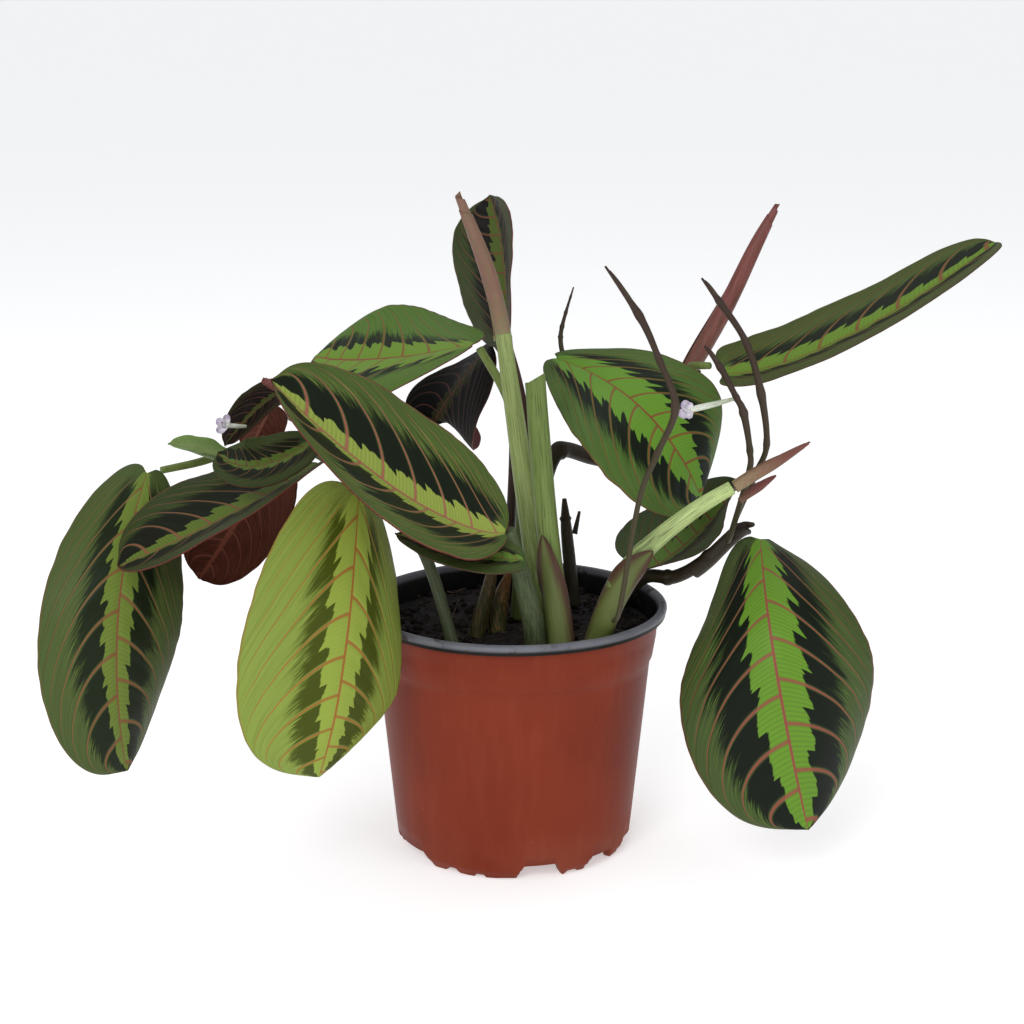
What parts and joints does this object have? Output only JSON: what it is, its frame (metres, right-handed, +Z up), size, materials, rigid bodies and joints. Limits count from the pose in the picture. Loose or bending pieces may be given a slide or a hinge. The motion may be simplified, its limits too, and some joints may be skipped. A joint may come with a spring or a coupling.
{
  "type": "potted prayer plant",
  "caption": "Prayer plant with herringbone-patterned leaves, rolled young leaves, sheathed shoots and thin flower stalks in a round nursery pot filled with soil.",
  "frame": {"origin": "centre of the pot's underside, on the pot's axis, on the plane it stands on", "axes": "+Z up along the pot's axis, +X to the right of the plant seen from the front, -Y towards the front"},
  "size_m": [0.3697, 0.2087, 0.2567],
  "materials": {
    "terracotta_plastic": "satin",
    "peat": "matte",
    "green_leaf": "satin",
    "dark_leaf": "satin",
    "lime_leaf": "satin",
    "red_backed_leaf": "satin",
    "green_stem": "satin",
    "grey_stem": "satin",
    "brown_stem": "satin",
    "rolled_leaf": "satin",
    "sheath": "matte",
    "petal": "matte",
    "dry_leaf": "matte"
  },
  "bodies": {
    "root": {"pot": "terracotta_plastic", "potting_soil": "peat", "dry_scrap": "dry_leaf", "tall_shoot": "green_stem", "cut_stem": "green_stem", "front_shoot": "grey_stem", "right_shoot": "green_stem", "rear_shoot": "brown_stem", "runner": "brown_stem", "left_shoot": "grey_stem", "forked_stub": "brown_stem", "stub_branch": "brown_stem", "young_shoot": "sheath", "side_shoot": "sheath", "upper_petiole": "green_stem", "tall_petiole": "brown_stem", "dark_petiole": "brown_stem", "centre_petiole": "brown_stem", "arm_petiole": "brown_stem", "low_petiole": "green_stem", "left_petiole": "green_stem", "yellow_petiole": "green_stem", "tall_rolled_leaf": "rolled_leaf", "right_rolled_leaf": "rolled_leaf", "right_young_leaf": "rolled_leaf", "upper_rolled_leaf": "rolled_leaf", "left_rolled_tip": "rolled_leaf", "thin_bract": "brown_stem", "front_flower_stalk": "brown_stem", "inner_flower_stalk": "brown_stem", "outer_flower_stalk": "brown_stem", "right_flower": "petal", "left_flower": "petal", "front_leaf": "dark_leaf", "yellow_leaf": "lime_leaf", "left_leaf": "green_leaf", "right_leaf": "dark_leaf", "centre_leaf": "green_leaf", "arm_leaf": "green_leaf", "low_leaf": "green_leaf", "purple_backed_leaf": "dark_leaf", "upper_leaf": "green_leaf", "tall_leaf": "dark_leaf", "dark_leaf": "dark_leaf", "under_leaf": "green_leaf", "red_backed_leaf": "red_backed_leaf", "curled_leaf": "green_leaf", "folded_leaf": "dark_leaf", "pink_backed_leaf": "red_backed_leaf", "boat_bract": "lime_leaf", "cut_stem_sheath": "sheath", "right_sheath": "sheath", "rear_sheath": "sheath"}
  },
  "joints": []
}
